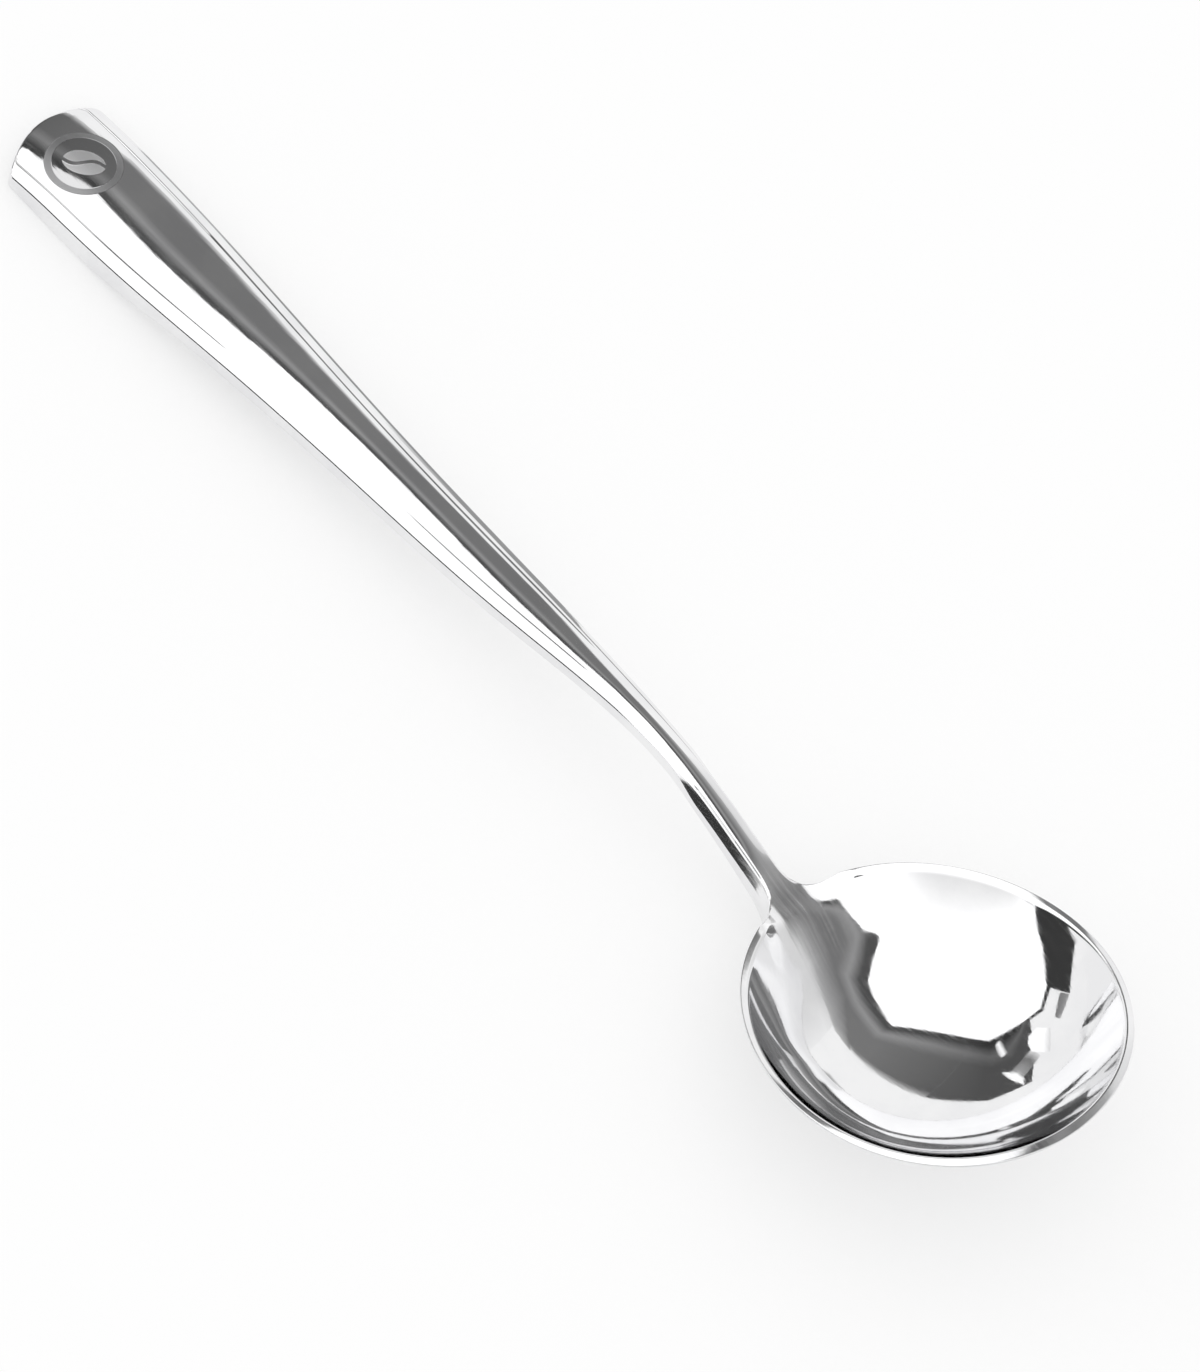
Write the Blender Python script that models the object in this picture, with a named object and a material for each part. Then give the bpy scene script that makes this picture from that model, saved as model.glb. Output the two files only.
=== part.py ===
"""Cupping spoon: a round bowl, a bent neck and a long bevelled handle, joined by tangs in sockets.

Units are metres, +Z is up and +X points from the handle towards the front of the bowl.
The origin is the middle of the small flat under the bowl, on the table. All sizes below are in millimetres.
"""
import math

import bmesh
import bpy
import numpy as np
from mathutils import Vector

MM = 0.001

# Bowl
BOWL_LENGTH = 44.2
BOWL_WIDTH = 41.5
BOWL_DEPTH = 12.0
BOWL_TILT_DEG = 12.9
BOWL_EGG = 0.044
BOWL_ROUNDNESS = 0.6
DEEPEST_BACK = 3.0
RIM_CENTRE_X = 7.8
RIM_CENTRE_Z = 13.1
LIP_WIDTH = 0.85
LIP_EDGE = 0.35
BOWL_FLOOR = 1.4

# Shoulders between bowl and neck
SHOULDER_RADIUS = 5.5
THROAT_BLEND = 4.0
LIP_BLEND = 1.6
THROAT_SPREAD = 0.25
THROAT_HOLD = 0.045
THROAT_HOLD_START = 26.0
FAN_SPREAD = 0.12
THROAT_FLARE = 2.4
FLARE_START = 25.0
FLARE_LENGTH = 7.0
THROAT_LOW = 7.0
THROAT_UNDER_LOW = 9.4
THROAT_UNDER_SPREAD = 0.2
THROAT_SETTLE = 0.6
THROAT_UNDER_SETTLE = 1.6
THROAT_UNDER_BLEND = 2.6
THROAT_LIFT = 0.05
WALL_RISE = 3.0
STUB_END = 30.6
STUB_FADE = 5.0

# Handle outline: places along X, with the width there
TIP_X = -140.0
PAD_X = -122.2
UPPER_X = -102.2
MIDDLE_X = -83.2
LOWER_X = -63.2
BEND_X = -46.2
CREST_X = -34.2
NECK_X = -25.6
THROAT_X = -17.2
TIP_WIDTH = 14.7
PAD_WIDTH = 14.0
UPPER_WIDTH = 11.2
MIDDLE_WIDTH = 8.9
LOWER_WIDTH = 7.1
BEND_WIDTH = 4.9
NECK_WIDTH = 3.8

# Height of the upper side edge at the same places
TIP_EDGE_Z = 2.4
PAD_EDGE_Z = 3.6
UPPER_EDGE_Z = 5.3
MIDDLE_EDGE_Z = 6.6
LOWER_EDGE_Z = 8.3
BEND_EDGE_Z = 10.4
CREST_EDGE_Z = 10.8
NECK_EDGE_Z = 9.35
THROAT_EDGE_Z = 6.75

# Height of the side wall at the same places
TIP_WALL = 2.4
UPPER_WALL = 2.1
LOWER_WALL = 1.9
CREST_WALL = 1.95
THROAT_WALL = 2.9

# Bevels, crown and the rounded end of the handle
TIP_BEVEL_RUN = 1.15
LOWER_BEVEL_RUN = 1.0
NECK_BEVEL_RUN = 0.55
TIP_BEVEL_DROP = 0.36
LOWER_BEVEL_DROP = 0.42
NECK_BEVEL_DROP = 0.35
TIP_CROWN = 0.55
MIDDLE_CROWN = 0.33
LOWER_CROWN = 0.22
NECK_CROWN = 0.18
END_BOW = 2.3
END_CORNER_RADIUS = 1.2
END_ROLL_LENGTH = 5.0
END_ROLL_DROP = 0.6
LOWER_EDGE_RADIUS = 0.4
TIP_FLAT_LENGTH = 9.0
TIP_LIFT_LENGTH = 22.0

# Joints
SEAM_X = -54.2
JOINT_CLEARANCE = 0.3
HANDLE_TANG_LENGTH = 6.0
HANDLE_TANG_WIDTH = 2.6
HANDLE_TANG_HEIGHT = 1.0
BOWL_TANG_LENGTH = 4.0
BOWL_TANG_WIDTH = 1.6
BOWL_TANG_HEIGHT = 1.0
TANG_ROOT = 2.0

# How finely the surfaces are divided
RIM_STEPS = 24
RIM_CROWDING = 1.5
SHOULDER_STEPS = 7
INNER_RINGS = 11
OUTER_RINGS = 11
STUB_CROWDING = 6
STUB_END_BAND = 0.4
HANDLE_STEPS = 34
NECK_STEPS = 16
CORNER_STEPS = 4
SHARP_ANGLE_DEG = 24.0

STEEL_COLOUR = (0.78, 0.78, 0.79, 1.0)

TILT = math.radians(BOWL_TILT_DEG)


def smooth_curve(places, values):
    """Natural cubic spline through the given places."""
    x = np.array(places, float)
    y = np.array(values, float)
    gaps = np.diff(x)
    count = len(x)
    matrix = np.eye(count)
    right = np.zeros(count)
    for i in range(1, count - 1):
        matrix[i, i - 1] = gaps[i - 1] / 6
        matrix[i, i] = (gaps[i - 1] + gaps[i]) / 3
        matrix[i, i + 1] = gaps[i] / 6
        right[i] = (y[i + 1] - y[i]) / gaps[i] - (y[i] - y[i - 1]) / gaps[i - 1]
    bend = np.linalg.solve(matrix, right)

    def at(value):
        value = np.asarray(value, float)
        i = np.clip(np.searchsorted(x, value) - 1, 0, count - 2)
        h = gaps[i]
        a = (x[i + 1] - value) / h
        b = (value - x[i]) / h
        return a * y[i] + b * y[i + 1] + ((a**3 - a) * bend[i] + (b**3 - b) * bend[i + 1]) * h * h / 6

    return at


def ease(value):
    """0 below 0, 1 over 1, and level at both ends."""
    t = np.clip(value, 0, 1)
    return t * t * (3 - 2 * t)


PLACES = [TIP_X, PAD_X, UPPER_X, MIDDLE_X, LOWER_X, BEND_X, CREST_X, NECK_X, THROAT_X]
full_width = smooth_curve(
    PLACES,
    [TIP_WIDTH, PAD_WIDTH, UPPER_WIDTH, MIDDLE_WIDTH, LOWER_WIDTH, BEND_WIDTH, NECK_WIDTH, NECK_WIDTH, NECK_WIDTH],
)
edge_height = smooth_curve(
    PLACES,
    [
        TIP_EDGE_Z,
        PAD_EDGE_Z,
        UPPER_EDGE_Z,
        MIDDLE_EDGE_Z,
        LOWER_EDGE_Z,
        BEND_EDGE_Z,
        CREST_EDGE_Z,
        NECK_EDGE_Z,
        THROAT_EDGE_Z,
    ],
)
wall_height = smooth_curve(
    [TIP_X, UPPER_X, LOWER_X, CREST_X, THROAT_X], [TIP_WALL, UPPER_WALL, LOWER_WALL, CREST_WALL, THROAT_WALL]
)


BEVEL_PLACES = [TIP_X, LOWER_X, CREST_X, THROAT_X]
bevel_run = smooth_curve(BEVEL_PLACES, [TIP_BEVEL_RUN, LOWER_BEVEL_RUN, NECK_BEVEL_RUN, NECK_BEVEL_RUN])
bevel_drop = smooth_curve(BEVEL_PLACES, [TIP_BEVEL_DROP, LOWER_BEVEL_DROP, NECK_BEVEL_DROP, NECK_BEVEL_DROP])
crown = smooth_curve(
    [TIP_X, MIDDLE_X, LOWER_X, CREST_X, THROAT_X], [TIP_CROWN, MIDDLE_CROWN, LOWER_CROWN, NECK_CROWN, NECK_CROWN]
)


def top_height(x):
    return edge_height(x) + bevel_drop(x) + crown(x)


def under_height(x):
    """Underside of handle and neck; it lies flat on the table at the tip."""
    lift = ease((np.asarray(x, float) - TIP_X - TIP_FLAT_LENGTH) / TIP_LIFT_LENGTH)
    return (edge_height(x) - wall_height(x)) * lift


def to_rim(x, z):
    """World X and Z to the frame of the rim plane: distance along it and height over it."""
    dx = np.asarray(x, float) - RIM_CENTRE_X
    dz = np.asarray(z, float) - RIM_CENTRE_Z
    return dx * math.cos(TILT) + dz * math.sin(TILT), -dx * math.sin(TILT) + dz * math.cos(TILT)


def from_rim(u, n):
    x = RIM_CENTRE_X + u * math.cos(TILT) - n * math.sin(TILT)
    z = RIM_CENTRE_Z + u * math.sin(TILT) + n * math.cos(TILT)
    return x, z


def carried_on(height, x):
    """Height along handle and neck, carried straight on into the bowl past the throat."""
    x = np.asarray(x, float)
    slope = height(THROAT_X) - height(THROAT_X - 1.0)
    return height(np.minimum(x, THROAT_X)) + slope * np.maximum(x - THROAT_X, 0.0)


ALONG = np.linspace(SEAM_X, RIM_CENTRE_X, 400)
TOP_U, TOP_N = to_rim(ALONG, carried_on(top_height, ALONG))
UNDER_U, UNDER_N = to_rim(ALONG, carried_on(under_height, ALONG))
HALF_LENGTH = BOWL_LENGTH / 2
HALF_WIDTH = BOWL_WIDTH / 2
HALF_NECK = NECK_WIDTH / 2
NECK_FLAT = HALF_NECK - NECK_BEVEL_RUN
RIM_INNER = 1 - LIP_WIDTH / HALF_WIDTH


def settle(value, limit, soft):
    """Follow value while it is over limit, and level off smoothly to limit below it."""
    return limit + soft * np.log1p(np.exp(np.clip((value - limit) / soft, -40, 40)))


def lower_of(first, second, soft):
    """Smooth minimum of two heights."""
    h = np.clip(0.5 + 0.5 * (second - first) / soft, 0, 1)
    return second * (1 - h) + first * h - soft * h * (1 - h)


def rim_radius(u, v):
    """1 on the rim outline, 0 in the middle of the bowl."""
    return np.sqrt((u / HALF_LENGTH) ** 2 + (v / (HALF_WIDTH * (1 + BOWL_EGG * u / HALF_LENGTH))) ** 2)


def dish(u, v, rim):
    """0 at the deepest point, which lies back from the middle, and 1 at the given share of the rim outline."""
    radius = rim_radius(u + DEEPEST_BACK * (1 - rim_radius(u, v) ** 2), v) / rim
    return (1 - BOWL_ROUNDNESS) * radius**2 + BOWL_ROUNDNESS * radius**4


def clear_of_front(u):
    """Lifts the throat surfaces out of the way over the rest of the bowl."""
    return THROAT_LIFT * np.maximum(u + HALF_LENGTH / 2, 0.0) ** 2


def near_stub_end(u):
    """1 at the end of the stub, 0 from the shoulders on."""
    return ease((-u - STUB_END + STUB_FADE) / STUB_FADE)


def flare(u):
    """How far the throat opens out beyond the neck's half width on its way into the bowl."""
    return THROAT_FLARE * ease((u + FLARE_START) / FLARE_LENGTH)


def throat_height(u, v, widening=0.0, spread=THROAT_SPREAD):
    """Upper side of the neck, led down over the throat into the bowl."""
    line = settle(np.interp(u, TOP_U, TOP_N), -THROAT_LOW, THROAT_SETTLE) + clear_of_front(u)
    line = line + THROAT_HOLD * np.maximum(u + THROAT_HOLD_START, 0.0) ** 2
    over = np.maximum(np.abs(v) - HALF_NECK - widening, 0.0)
    hump = NECK_CROWN * near_stub_end(u)
    return line - hump * np.minimum(np.abs(v) / NECK_FLAT, 1.0) ** 2 + spread * over**2


def inner_height(u, v):
    """Upper surface of bowl, shoulders and stub over the rim plane."""
    bowl = (BOWL_DEPTH - BOWL_FLOOR) * (dish(u, v, RIM_INNER) - 1)
    return lower_of(bowl, throat_height(u, v, flare(u), FAN_SPREAD), THROAT_BLEND)


def lip_height(u, v):
    """Rim lip, running out along the shoulders into the upper edges of the stub."""
    beyond = WALL_RISE * BOWL_DEPTH * np.maximum(rim_radius(u, v) - 1, 0.0)
    return lower_of(beyond, throat_height(u, v), LIP_BLEND)


def outer_height(u, v):
    """Lower surface of bowl, shoulders and stub over the rim plane."""
    bowl = (BOWL_DEPTH - LIP_EDGE) * (dish(u, v, 1.0) - 1)
    line = settle(np.interp(u, UNDER_U, UNDER_N), -THROAT_UNDER_LOW, THROAT_UNDER_SETTLE) + clear_of_front(u)
    over = np.maximum(np.abs(v) - HALF_NECK, 0.0)
    return lower_of(bowl - LIP_EDGE, line + THROAT_UNDER_SPREAD * over**2, THROAT_UNDER_BLEND)


def bowl_outline():
    """Half outline of bowl and stub in the rim plane, from the stub end round to the front of the rim."""
    points = []
    for share in (0.0, 0.5):
        points.append((-STUB_END, share * HALF_NECK, 0.0))
    points.append((-STUB_END, HALF_NECK, 1.0))
    # The shoulder arc touches the neck edge and the rim; its middle is found by closing in on the rim.
    low, high = -STUB_END, -HALF_LENGTH
    for _ in range(40):
        middle = (low + high) / 2
        turn = np.linspace(0, math.pi / 2, 200)
        arc_u = middle + SHOULDER_RADIUS * np.sin(turn)
        arc_v = HALF_NECK + SHOULDER_RADIUS * (1 - np.cos(turn))
        if rim_radius(arc_u, arc_v).min() < 1:
            high = middle
        else:
            low = middle
    touch = float(turn[np.argmin(rim_radius(arc_u, arc_v))])
    points.append(((middle - STUB_END) / 2, HALF_NECK, 1.0))
    for share in np.linspace(0, 1, SHOULDER_STEPS + 1):
        angle = touch * share
        points.append(
            (
                middle + SHOULDER_RADIUS * math.sin(angle),
                HALF_NECK + SHOULDER_RADIUS * (1 - math.cos(angle)),
                1 - share,
            )
        )
    start = math.acos(points[-1][0] / HALF_LENGTH)
    for share in np.linspace(0, 1, RIM_STEPS + 1)[1:]:
        angle = start * (1 - share**RIM_CROWDING)
        u = HALF_LENGTH * math.cos(angle)
        v = HALF_WIDTH * math.sin(angle) * (1 + BOWL_EGG * math.cos(angle))
        points.append((u, v, 0.0))
    return points


def new_object(name, bm):
    bmesh.ops.recalc_face_normals(bm, faces=bm.faces)
    mesh = bpy.data.meshes.new(name)
    bm.to_mesh(mesh)
    bm.free()
    item = bpy.data.objects.new(name, mesh)
    bpy.context.scene.collection.objects.link(item)
    return item


def make_bowl():
    half = bowl_outline()
    around = half + [(u, -v, bevel) for u, v, bevel in reversed(half[1:-1])]
    bm = bmesh.new()

    def vertex(u, v, n):
        x, z = from_rim(float(u), float(n))
        return bm.verts.new((x * MM, float(v) * MM, z * MM))

    rings = []
    inner_shares = np.linspace(0, 1, INNER_RINGS + 1)[1:]
    for share in inner_shares:
        ring = []
        for u, v, bevel in around:
            reach = 1 / max(rim_radius(u, v), 1.0)
            far = share * reach + (1 - reach) * share**STUB_CROWDING
            at_end = u < -STUB_END + 0.01
            side = math.copysign(1, v) if v else 0.0
            lip_u, lip_v = u * RIM_INNER, v * RIM_INNER
            if bevel > 0:
                lip_v = v * (1 - bevel) * RIM_INNER + bevel * (v - side * NECK_BEVEL_RUN)
                lip_u = u * (1 - bevel) * RIM_INNER + bevel * u
            if at_end:
                lip_u = u + STUB_END_BAND
                lip_v = v if abs(v) < HALF_NECK - 0.01 else side * (HALF_NECK - NECK_BEVEL_RUN)
            a, b = lip_u * far, lip_v * far
            height = inner_height(a, b)
            if share == 1:
                height = lip_height(a, b)
            ring.append(vertex(a, b, height))
        rings.append(ring)
    top_edge = []
    low_edge = []
    for u, v, bevel in around:
        n = lip_height(u, v) - bevel * NECK_BEVEL_DROP
        top_edge.append(vertex(u, v, n))
        low_edge.append(vertex(u, v, min(outer_height(u, v), n - LIP_EDGE)))
    rings.append(top_edge)
    rings.append(low_edge)
    outer_shares = np.linspace(1, 0, OUTER_RINGS + 1)[1:-1]
    for share in outer_shares:
        ring = []
        for u, v, bevel in around:
            reach = 1 / max(rim_radius(u, v), 1.0)
            far = share * reach + (1 - reach) * share**STUB_CROWDING
            ring.append(vertex(u * far, v * far, outer_height(u * far, v * far)))
        rings.append(ring)
    count = len(around)
    first = vertex(0, 0, inner_height(0.0, 0.0))
    last = vertex(0, 0, outer_height(0.0, 0.0))
    for i in range(count):
        j = (i + 1) % count
        bm.faces.new((first, rings[0][i], rings[0][j]))
        bm.faces.new((last, rings[-1][j], rings[-1][i]))
        for inside, outside in zip(rings, rings[1:]):
            bm.faces.new((inside[i], outside[i], outside[j], inside[j]))
    return new_object("bowl", bm)


def ring_points(x, tilt, end_inset=0.0):
    """One closed section of handle or neck, as points (x, y, z) in millimetres."""
    half = float(full_width(x)) / 2 - end_inset
    run = float(bevel_run(x))
    drop = float(bevel_drop(x))
    hump = float(crown(x))
    top = float(top_height(x))
    from_end = x - TIP_X
    roll = END_ROLL_DROP * max(0.0, 1 - from_end / END_ROLL_LENGTH) ** 2
    bow = END_BOW * max(0.0, 1 - from_end / (4 * END_ROLL_LENGTH)) ** 2
    deep = top - float(under_height(x))
    for _ in range(12):
        deep = (top - float(carried_on(under_height, x + deep * math.sin(tilt)))) / math.cos(tilt)
    flat = half - run
    upper = [(0.0, 0.0), (0.35 * flat, -hump * 0.1225), (0.7 * flat, -hump * 0.49), (flat, -hump)]
    upper = [(y, h - roll) for y, h in upper]
    upper.append((half, -hump - drop - roll))
    lower = [(0.0, -deep), (0.35 * flat, -deep), (0.7 * flat, -deep)]
    lower.append((half - LOWER_EDGE_RADIUS, -deep))
    lower.append((half, -deep + LOWER_EDGE_RADIUS))
    upper = [(-y, h) for y, h in reversed(upper[1:])] + upper
    lower = [(-y, h) for y, h in reversed(lower[1:])] + lower
    points = []
    for y, h in upper + lower[::-1]:
        px = x - h * math.sin(tilt) - bow * (1 - (y / half) ** 2)
        points.append((px, y, top + h * math.cos(tilt)))
    return points


def make_bar(name, sections):
    bm = bmesh.new()
    rings = [[bm.verts.new((x * MM, y * MM, z * MM)) for x, y, z in section] for section in sections]
    count = len(rings[0])
    for first, second in zip(rings, rings[1:]):
        for i in range(count):
            j = (i + 1) % count
            bm.faces.new((first[i], first[j], second[j], second[i]))
    for ring in (rings[0], rings[-1]):
        for i in range(count // 2 - 1):
            bm.faces.new((ring[i], ring[i + 1], ring[count - 2 - i], ring[count - 1 - i]))
    return new_object(name, bm)


def make_box(name, size, middle, pitch):
    """A box turned about Y, used for tangs and sockets."""
    bm = bmesh.new()
    bmesh.ops.create_cube(bm, size=1.0)
    for vert in bm.verts:
        x, y, z = vert.co.x * size[0], vert.co.y * size[1], vert.co.z * size[2]
        turned_x = x * math.cos(pitch) - z * math.sin(pitch)
        turned_z = x * math.sin(pitch) + z * math.cos(pitch)
        vert.co = Vector(((middle[0] + turned_x) * MM, (middle[1] + y) * MM, (middle[2] + turned_z) * MM))
    return new_object(name, bm)


def combine(item, tool, operation):
    tool.hide_render = True
    tool.display_type = "WIRE"
    change = item.modifiers.new(tool.name, "BOOLEAN")
    change.operation = operation
    change.solver = "EXACT"
    change.object = tool
    bpy.context.view_layer.update()
    graph = bpy.context.evaluated_depsgraph_get()
    mesh = bpy.data.meshes.new_from_object(item.evaluated_get(graph))
    item.modifiers.clear()
    item.data = mesh
    bpy.data.objects.remove(tool)


def finish(item, colour, roughness):
    material = bpy.data.materials.new(item.name + "_steel")
    material.use_nodes = True
    shader = material.node_tree.nodes["Principled BSDF"]
    shader.inputs["Base Color"].default_value = colour
    shader.inputs["Metallic"].default_value = 1.0
    shader.inputs["Roughness"].default_value = roughness
    item.data.materials.clear()
    item.data.materials.append(material)
    for face in item.data.polygons:
        face.use_smooth = True
    item.data.set_sharp_from_angle(angle=math.radians(SHARP_ANGLE_DEG))


for old in list(bpy.data.objects):
    bpy.data.objects.remove(old)

# Handle, from its rounded end to the seam with the neck
handle_sections = []
for step in range(CORNER_STEPS):
    angle = math.pi / 2 * (1 - step / CORNER_STEPS)
    inset = END_CORNER_RADIUS * (1 - math.cos(angle))
    handle_sections.append(ring_points(TIP_X + END_CORNER_RADIUS * (1 - math.sin(angle)), 0.0, inset))
for x in np.linspace(TIP_X + END_CORNER_RADIUS, SEAM_X, HANDLE_STEPS + 1):
    handle_sections.append(ring_points(float(x), 0.0))
handle = make_bar("handle", handle_sections)

# Neck, from the seam with the handle to the end of the bowl's stub
neck_end_x = float(np.interp(-STUB_END - JOINT_CLEARANCE, TOP_U, ALONG))
neck_sections = []
for share in np.linspace(0, 1, NECK_STEPS + 1):
    start = SEAM_X + JOINT_CLEARANCE
    neck_sections.append(ring_points(start + (neck_end_x - start) * share, TILT * share))
neck = make_bar("neck", neck_sections)

bowl = make_bowl()

# Tang and socket between handle and neck, along the slope of the handle there
seam_slope = math.atan(float(edge_height(SEAM_X) - edge_height(SEAM_X - HANDLE_TANG_LENGTH)) / HANDLE_TANG_LENGTH)
seam_middle = float(top_height(SEAM_X) + under_height(SEAM_X)) / 2
tang_size = (HANDLE_TANG_LENGTH, HANDLE_TANG_WIDTH, HANDLE_TANG_HEIGHT)


def handle_box(name, grow, reach_back):
    length = tang_size[0] + grow + reach_back
    shift = (reach_back - tang_size[0] - grow) / 2
    middle = (SEAM_X + shift * math.cos(seam_slope), 0.0, seam_middle + shift * math.sin(seam_slope))
    return make_box(name, (length, tang_size[1] + 2 * grow, tang_size[2] + 2 * grow), middle, seam_slope)


combine(handle, handle_box("handle_socket", JOINT_CLEARANCE, TANG_ROOT), "DIFFERENCE")
combine(neck, handle_box("handle_tang", 0.0, TANG_ROOT), "UNION")

# Tang and socket between neck and bowl, along the slope of the neck there
stub_top = float(np.interp(-STUB_END, TOP_U, TOP_N))
stub_under = float(np.interp(-STUB_END, UNDER_U, UNDER_N))
stub_x, stub_z = from_rim(-STUB_END, (stub_top + stub_under) / 2)
stub_slope = math.atan(float(edge_height(stub_x + BOWL_TANG_LENGTH) - edge_height(stub_x)) / BOWL_TANG_LENGTH)


def bowl_box(name, grow, reach_back):
    length = BOWL_TANG_LENGTH + grow + reach_back
    shift = (BOWL_TANG_LENGTH + grow - reach_back) / 2
    middle = (stub_x + shift * math.cos(stub_slope), 0.0, stub_z + shift * math.sin(stub_slope))
    return make_box(name, (length, BOWL_TANG_WIDTH + 2 * grow, BOWL_TANG_HEIGHT + 2 * grow), middle, stub_slope)


combine(bowl, bowl_box("bowl_socket", JOINT_CLEARANCE, TANG_ROOT), "DIFFERENCE")
combine(neck, bowl_box("bowl_tang", 0.0, TANG_ROOT), "UNION")

# The flat the bowl rests on
below = make_box("table_cut", (60.0, 60.0, 20.0), (0.0, 0.0, -10.0), 0.0)
combine(bowl, below, "DIFFERENCE")

finish(bowl, STEEL_COLOUR, 0.08)
finish(neck, STEEL_COLOUR, 0.1)
finish(handle, STEEL_COLOUR, 0.08)
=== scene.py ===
"""Cupping spoon on a white table: fine polished steel surfaces in place of the plain solids.

Shapes are worked out in millimetres, with the same named values as the solids, and turned into metres
at the end. Materials, camera and studio are in metres.
"""
import math

import bmesh
import bpy
import numpy as np
from mathutils import Matrix, Vector


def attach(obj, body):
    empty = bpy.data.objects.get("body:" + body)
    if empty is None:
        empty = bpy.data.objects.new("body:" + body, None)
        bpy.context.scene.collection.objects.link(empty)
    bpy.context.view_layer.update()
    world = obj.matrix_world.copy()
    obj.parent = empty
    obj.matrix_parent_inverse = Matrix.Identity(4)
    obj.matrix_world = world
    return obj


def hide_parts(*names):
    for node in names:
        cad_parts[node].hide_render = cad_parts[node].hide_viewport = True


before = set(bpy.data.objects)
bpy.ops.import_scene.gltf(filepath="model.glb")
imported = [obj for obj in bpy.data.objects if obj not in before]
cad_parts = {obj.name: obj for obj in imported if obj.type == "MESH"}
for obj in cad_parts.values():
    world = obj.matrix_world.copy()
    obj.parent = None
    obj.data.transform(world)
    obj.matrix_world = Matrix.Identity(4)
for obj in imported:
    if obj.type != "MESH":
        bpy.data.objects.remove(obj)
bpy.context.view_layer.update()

MM = 0.001

# Bowl
BOWL_LENGTH = 44.2
BOWL_WIDTH = 41.5
BOWL_DEPTH = 12.0
BOWL_TILT_DEG = 12.9
BOWL_EGG = 0.044
BOWL_ROUNDNESS = 0.6
DEEPEST_BACK = 3.0
RIM_CENTRE_X = 7.8
RIM_CENTRE_Z = 13.1
LIP_WIDTH = 0.85
LIP_EDGE = 0.35
BOWL_FLOOR = 1.4

# Shoulders between bowl and neck
SHOULDER_RADIUS = 5.5
THROAT_BLEND = 4.0
LIP_BLEND = 1.0
THROAT_SPREAD = 0.14
THROAT_HOLD = 0.045
THROAT_HOLD_START = 26.0
FAN_SPREAD = 0.12
THROAT_FLARE = 2.4
FLARE_START = 25.0
FLARE_LENGTH = 7.0
THROAT_LOW = 7.0
THROAT_UNDER_LOW = 9.4
THROAT_UNDER_SPREAD = 0.2
THROAT_SETTLE = 0.6
THROAT_UNDER_SETTLE = 1.6
THROAT_UNDER_BLEND = 2.6
THROAT_LIFT = 0.05
WALL_RISE = 3.0
RIM_THROAT_BLEND = 1.5
RIM_FADE = 0.25
SHOULDER_EASE = 0.68
EASE_CORE = 0.2
EASE_FROM = 19.0
EASE_OVER = 34.0
STUB_END = 30.6
STUB_FADE = 5.0

# Handle outline: places along X, with the width there
TIP_X = -140.0
PAD_X = -122.2
UPPER_X = -102.2
MIDDLE_X = -83.2
LOWER_X = -63.2
BEND_X = -46.2
CREST_X = -34.2
NECK_X = -25.6
THROAT_X = -17.2
TIP_WIDTH = 14.7
PAD_WIDTH = 14.0
UPPER_WIDTH = 11.2
MIDDLE_WIDTH = 8.9
LOWER_WIDTH = 7.1
BEND_WIDTH = 4.9
NECK_WIDTH = 3.8

# Height of the upper side edge at the same places
TIP_EDGE_Z = 2.4
PAD_EDGE_Z = 3.6
UPPER_EDGE_Z = 5.3
MIDDLE_EDGE_Z = 6.6
LOWER_EDGE_Z = 8.3
BEND_EDGE_Z = 10.4
CREST_EDGE_Z = 10.8
NECK_EDGE_Z = 9.35
THROAT_EDGE_Z = 6.75

# Height of the side wall at the same places
TIP_WALL = 2.4
UPPER_WALL = 2.1
LOWER_WALL = 1.9
CREST_WALL = 1.95
THROAT_WALL = 2.9

# Bevels, crown and the rounded end of the handle
TIP_BEVEL_RUN = 1.15
LOWER_BEVEL_RUN = 1.0
NECK_BEVEL_RUN = 0.7
TIP_BEVEL_DROP = 0.36
LOWER_BEVEL_DROP = 0.42
NECK_BEVEL_DROP = 0.35
TIP_CROWN = 0.55
MIDDLE_CROWN = 0.33
LOWER_CROWN = 0.22
NECK_CROWN = 0.18
END_BOW = 2.3
END_BOW_LENGTH = 20.0
END_SKEW = 0.1
END_SKEW_LENGTH = 14.0
END_CORNER_RADIUS = 1.2
END_TOP_ROUND = 0.3
END_LOW_ROUND = 1.1
END_ROLL_LENGTH = 9.0
END_ROLL_DROP = 0.8
LOWER_EDGE_RADIUS = 0.4
TIP_FLAT_LENGTH = 9.0
TIP_LIFT_LENGTH = 22.0
SEAM_X = -54.2

# Small forms that only the polished surfaces have
HANDLE_LEAN = 0.13
HANDLE_BELT = 0.2
NECK_LEAN = 0.5
NECK_BELT = 1.35
NECK_FOOT = 0.22
BELT_SHARE = 0.4
LOW_ROUND_SHARE = 0.45
STEP_RUN = 0.36
STEP_DROP = 0.19
NECK_STEP_RUN = 0.06
NECK_STEP_DROP = 0.05
STEP_ROUND = 0.05
LEAN_START = -33.5
LEAN_LENGTH = 5.5
NECK_TWIST = 0.1
TWIST_START = -60.0
TWIST_LENGTH = 24.0
TWIST_END = -9.0
TWIST_FADE = 12.0
GROOVE_WIDTH = 0.5
TIP_GROOVE = 0.1
PAD_GROOVE = 0.06
HANDLE_GROOVE = 0.022
LOWER_GROOVE = 0.03
HANDLE_ROUND = 0.06
TIP_EDGE_ROUND = 0.3
NECK_EDGE_ROUND = 0.16
RIM_INNER_ROUND = 0.22
RIM_EDGE_ROUND = 0.14
RIM_BELT_ROUND = 0.03

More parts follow.
